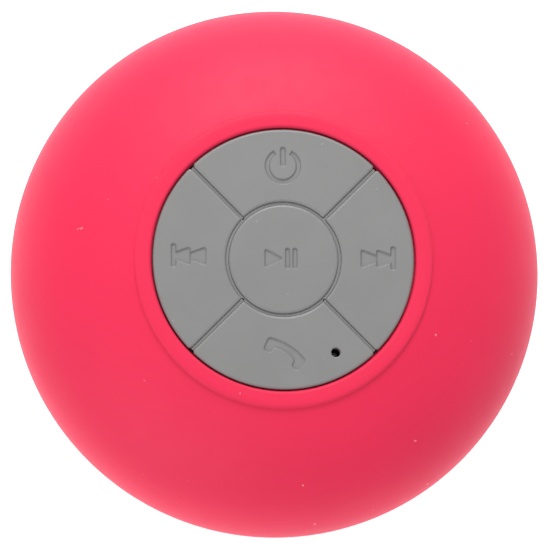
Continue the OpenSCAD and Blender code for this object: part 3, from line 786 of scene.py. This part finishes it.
def key(name):
    edge_w, edge_h = 0.45, 0.28
    levels = [(0.2, KEY_BOTTOM), (0.0, KEY_BOTTOM + 0.2)]
    for k in range(8):
        a = math.radians(90 * k / 7)
        levels.append((edge_w * (1 - math.cos(a)), KEY_TOP - edge_h * (1 - math.sin(a))))
    rings = [[(x, y, z) for x, y in key_outline(name, inset)] for inset, z in levels]
    body = loft(name + "_key_cap", rings)
    unite(body, cylinder("stem", STEM_R, STEM_Z, KEY_BOTTOM + 0.5, stem_place(name)))
    walls = [(0.0, KEY_TOP - SYMBOL_DEPTH), (0.06, KEY_TOP - SYMBOL_DEPTH + 0.05),
             (0.14, KEY_TOP - 0.17), (0.22, KEY_TOP - 0.06), (0.33, KEY_TOP),
             (0.38, KEY_TOP + 0.02)]
    for outline in SYMBOLS[name]:
        cut(body, prism("symbol", outline, walls))
    if name == "call":
        mouth = [(0, KEY_BOTTOM - 1), (MIC_R, KEY_BOTTOM - 1), (MIC_R, KEY_TOP - 0.2),
                 (MIC_R + 0.08, KEY_TOP - 0.07), (MIC_R + 0.22, KEY_TOP),
                 (MIC_R + 0.3, KEY_TOP + 0.02), (0, KEY_TOP + 0.02)]
        cut(body, revolve("mouth", mouth, 40, MIC))
    dress(soften(body), "keys")
    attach(body, name + "_key")
    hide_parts(name + "_key")


def key_web(name):
    """The thin sloping skirt that a key stands on, held with the body."""
    section = [(0.5, SHEET_TOP), (0.8, KEY_BOTTOM), (1.2, KEY_BOTTOM), (0.9, SHEET_TOP)]
    rings = [[(x, y, z) for x, y in key_outline(name, inset)] for inset, z in section]
    web = dress(soften(loft(name + "_key_skirt", rings, closed=True)), "keys")
    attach(web, "speaker_body")
    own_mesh(web)
    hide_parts(name + "_key_web")


def keypad_sheet():
    """The sheet that carries the keys. Low ribs of it fill the grooves between them."""
    rib, rib_top = GROOVE - 0.08, KEY_TOP - 0.42
    sheet = cylinder("keypad_sheet", PAD_R, DECK_TOP, SHEET_TOP, segments=160)
    middle = CENTRE_R + GROOVE / 2
    unite(sheet, revolve("ring_rib", [(middle - rib / 2, SHEET_TOP - 0.3),
                                      (middle + rib / 2, SHEET_TOP - 0.3),
                                      (middle + rib / 2, rib_top),
                                      (middle - rib / 2, rib_top)], 160))
    reach = PAD_R - 0.3
    for a in DIVIDERS:
        outline = turned(rounded_rectangle(reach - middle, rib, 0.1, (reach + middle) / 2), a)
        unite(sheet, prism("rib", outline, [(0, SHEET_TOP - 0.3), (0, rib_top)]))
    holes = switch_holes(2.1, DECK_TOP - 1, SHEET_TOP + 0.3)
    holes.append(cylinder("hole", 0.9, DECK_TOP - 1, SHEET_TOP + 0.3, MIC, 32))
    cut(sheet, joined("stem_holes", holes))
    dress(soften(sheet), "keys")
    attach(sheet, "speaker_body")
    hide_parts("keypad_membrane")


# ---- Suction cup ----

def suction_cup():
    land, neck_r, apex = 3.5, 12.0, 5.2
    well_r = CUP_R - land
    centre = [(0, apex + 0.3, 0), (5.6, apex + 0.3, 0.25), (6.0, apex * 0.95, 0.3)]
    dish = [(well_r * i / 24, apex * (1 - (i / 24) ** 2), 0) for i in range(6, 25)]
    under = centre + dish
    rim = [(CUP_R, 0.0, 0.2), (CUP_R, 0.7, 0.3)]
    span = CUP_R - neck_r - 0.5
    over = [(CUP_R - span * i / 28, 0.7 + 7.3 * (i / 28) ** 1.6, 0) for i in range(2, 29)]
    neck = [(neck_r, 8.6, 0.6), (neck_r, NECK_TOP, 0.5), (6.05, NECK_TOP, 0.2),
            (6.05, 9.55, 0), (9.05, 9.55, 0), (9.05, 7.45, 0), (0, 7.45, 0)]
    cup = revolve("suction_cup_skin", rounded(under + rim + over + neck), 192)

    tab_r, tab_x, z0, z1 = 4.5, CUP_R + 2.4, 0.4, 1.9
    start = CUP_R - 3.5
    outline = rounded([(start, -tab_r, 0), (tab_x + tab_r, -tab_r, tab_r - 0.01),
                       (tab_x + tab_r, tab_r, tab_r - 0.01), (start, tab_r, 0)], 16)
    edge = 0.35
    levels = [(-edge, z0), (-0.1, z0 + 0.1), (0, z0 + edge), (0, z1 - edge), (-0.1, z1 - 0.1),
              (-edge, z1)]
    unite(cup, prism("tab", outline, levels))
    for k in range(3):
        x = CUP_R + 1.6 + 1.6 * k
        ridge = rounded_rectangle(0.55, 5.2, 0.26, x)
        unite(cup, prism("ridge", ridge, [(0, z1 - 0.3), (0, z1 + 0.1), (-0.12, z1 + 0.22)]))
    dress(soften(cup), "cup")
    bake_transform(cup)
    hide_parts("suction_cup")


# ---- Driver parts that flex ----

def driver_surround():
    """A half roll with its outer foot on the frame and its inner foot at the cone."""
    x, z, outer, inner = 16.55, 19.45, 0.75, 0.45
    steps = 16
    roll = [(x - outer * math.cos(math.pi * k / steps), z - outer * math.sin(math.pi * k / steps))
            for k in range(steps + 1)]
    back = [(x + inner * math.cos(math.pi * k / steps), z - inner * math.sin(math.pi * k / steps))
            for k in range(steps + 1)]
    profile = ([(15, 19.95), (x - outer, 19.95)] + roll
               + [(x + outer, 19.1), (17.95, 19.1), (17.95, 19.38)] + back
               + [(x - inner, 20.23), (15, 20.23)])
    surround = dress(soften(revolve("driver_surround_skin", profile, 128)), "rubber")
    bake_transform(surround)
    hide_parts("driver_surround")


def driver_spider():
    """A corrugated disc, low at the coil and high at the frame."""
    r0, r1, r2, t, waves, steps = 6.54, 13.4, 15.3, 0.25, 5, 60

    def height(i):
        return 25.3 + 0.4 * i / steps + 0.16 * math.sin(TAU * waves * i / steps)

    low = [(r0 + (r1 - r0) * i / steps, height(i)) for i in range(steps + 1)]
    high = [(r, z + t) for r, z in low[::-1]]
    profile = low + [(r2, 25.7), (r2, 25.95)] + high
    spider = dress(soften(revolve("driver_spider_skin", profile, 128)), "spider")
    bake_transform(spider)
    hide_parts("driver_spider")


# ---- CAD nodes that stay as they are ----

KEPT = {
    "steel": ["case_screws", "board_screws", "driver_front_plate", "driver_yoke",
              "stud_washer", "stud_screw"],
    "nickel": ["switch_covers", "microphone_capsule", "radio_module", "charge_port_shell"],
    "black": ["switch_bases", "board_chips", "charge_port_tongue", "driver_frame", "cup_stud"]
             + [k + "_switch_plunger" for k in KEYS],
    "rubber": ["shell_seal", "microphone_boot", "driver_gasket", "stud_seal"],
    "board": ["main_board", "charge_board"],
    "ferrite": ["driver_magnet"],
    "copper": ["coil_winding"],
    "cone": ["driver_cone", "dust_cap"],
    "former": ["coil_former"],
    "mesh": ["acoustic_mesh"],
    "foil": ["battery_cell"],
    "tape": ["battery_tape"],
    "ivory": ["lead_connectors"],
    "phenolic": ["driver_terminal"],
    "sleeve": ["board_capacitors"],
    "lens": ["status_led"],
    "red_black_y": ["battery_leads", "driver_leads"],
    "red_black_x": ["charge_leads"],
}


def dress_kept_nodes():
    for surface, nodes in KEPT.items():
        for node in nodes:
            dress(frame["nodes"][node], surface)


# ---- Stage, light and camera ----

def make_stage():
    mesh = bpy.data.meshes.new("floor")
    half = 6.0
    z = -0.1 * MM
    mesh.from_pydata([(-half, -half, z), (half, -half, z), (half, half, z), (-half, half, z)],
                     [], [(0, 1, 2, 3)])
    floor = bpy.data.objects.new("floor", mesh)
    bpy.context.scene.collection.objects.link(floor)
    pale = Surface("pale_floor", (0.9, 0.9, 0.9), 0.9, specular_ior_level=0.1)
    pale.shader.inputs["Emission Color"].default_value = (1, 1, 1, 1)
    pale.shader.inputs["Emission Strength"].default_value = 0.55
    clear = pale.tree.nodes.new("ShaderNodeBsdfTransparent")
    side = pale.tree.nodes.new("ShaderNodeNewGeometry")
    mix = pale.tree.nodes.new("ShaderNodeMixShader")
    pale.link(side.outputs["Backfacing"], mix.inputs[0])
    pale.link(pale.shader.outputs[0], mix.inputs[1])
    pale.link(clear.outputs[0], mix.inputs[2])
    pale.link(mix.outputs[0], pale.tree.nodes["Material Output"].inputs["Surface"])
    floor.data.materials.append(pale.material)

    world = bpy.data.worlds.new("studio")
    world.use_nodes = True
    world.node_tree.nodes["Background"].inputs["Color"].default_value = (1, 1, 1, 1)
    world.node_tree.nodes["Background"].inputs["Strength"].default_value = 0.575
    bpy.context.scene.world = world


def area_light(name, place, size, power):
    data = bpy.data.lights.new(name, "AREA")
    data.shape, data.size, data.energy = "DISK", size, power
    light = bpy.data.objects.new(name, data)
    light.location = place
    aim = Vector((0, 0, 0.04)) - Vector(place)
    light.rotation_euler = aim.to_track_quat("-Z", "Y").to_euler()
    bpy.context.scene.collection.objects.link(light)


def make_camera():
    """Looks straight at the keypad from a little below and to the left, power key up."""
    azimuth, elevation, distance = math.radians(-31.4), math.radians(81.92), 0.9
    back = Vector((math.sin(azimuth) * math.cos(elevation),
                   -math.cos(azimuth) * math.cos(elevation), math.sin(elevation)))
    right = Vector((0, 1, 0)).cross(back).normalized()
    up = back.cross(right)
    data = bpy.data.cameras.new("camera")
    data.sensor_width = 36.0
    view_width = 0.08968
    data.lens = data.sensor_width * distance / view_width
    data.clip_start, data.clip_end = 0.01, 50
    camera = bpy.data.objects.new("camera", data)
    aim = Vector((0, 0, EQUATOR_Z * MM)) + right * 0.0001 - up * 0.00015
    camera.matrix_world = Matrix.Translation(aim + back * distance) @ Matrix(
        (right, up, back)).transposed().to_4x4()
    bpy.context.scene.collection.objects.link(camera)
    bpy.context.scene.camera = camera


make_camera()
make_stage()
area_light("window", (0.0, 0.36, 0.375), 0.3, 1.9)
area_light("fill", (-0.30, -0.42, 0.38), 0.4, 1.2)
bpy.context.scene.view_settings.view_transform = "Standard"

upper_shell()
lower_shell()
port_cover()
port_cover_anchor()
port_cover_strap()
keypad_sheet()
for each in KEYS:
    key(each)
    key_web(each)
suction_cup()
driver_surround()
driver_spider()
dress_kept_nodes()
